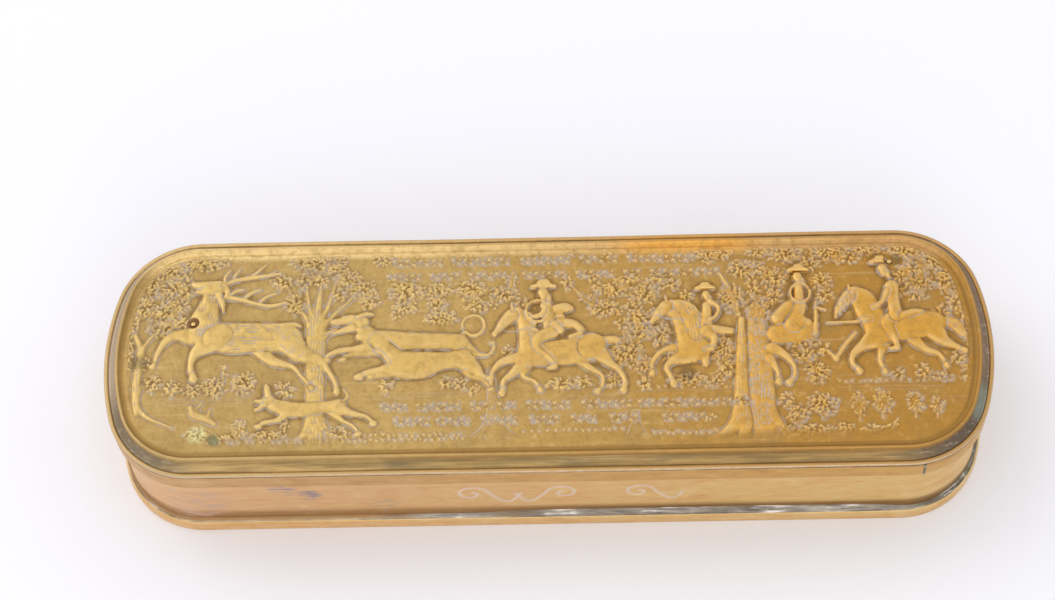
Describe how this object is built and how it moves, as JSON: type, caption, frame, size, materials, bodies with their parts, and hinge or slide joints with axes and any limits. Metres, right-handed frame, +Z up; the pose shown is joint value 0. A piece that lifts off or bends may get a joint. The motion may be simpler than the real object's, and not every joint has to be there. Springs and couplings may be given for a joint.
{
  "type": "hinged needle case",
  "caption": "Oblong round-cornered hinged box with a stamped relief lid, a skirt that slips over its wall, and a long pinned hinge across the back.",
  "frame": {"origin": "middle of the flat underside that the box stands on", "axes": "+X along the box, -Y out of the front, +Z up through the lid"},
  "size_m": [0.16, 0.0498, 0.025],
  "materials": {
    "lid_brass": "stamped, worn bright on the high points, grey in the hollows",
    "rivet_brass": "worn",
    "skirt_brass": "satin, scratched",
    "wall_copper": "satin copper, scratched and toned",
    "base_brass": "satin, worn",
    "hinge_brass": "dull",
    "pin_wire": "dull iron wire",
    "solder": "dull grey tin solder with bright spots"
  },
  "bodies": {
    "box": {"base_pan": "base_brass", "side_wall": "wall_copper", "wall_seam_solder": "solder", "base_joint_solder": "solder", "body_hinge_leaf": "hinge_brass", "body_leaf_solder": "solder", "hinge_pin": "pin_wire"},
    "lid": {"lid_plate": "lid_brass", "lid_rivets": "rivet_brass", "lid_skirt": "skirt_brass", "skirt_seam_solder": "solder", "lid_joint_solder": "solder", "lid_hinge_leaf": "hinge_brass", "lid_leaf_solder": "solder"}
  },
  "joints": [
    {"name": "lid_hinge", "type": "hinge", "parent": "box", "child": "lid", "pos_m": [0, 0.0246, 0.0167], "axis": [-1, 0, 0], "range_deg": [0, 110]}
  ]
}
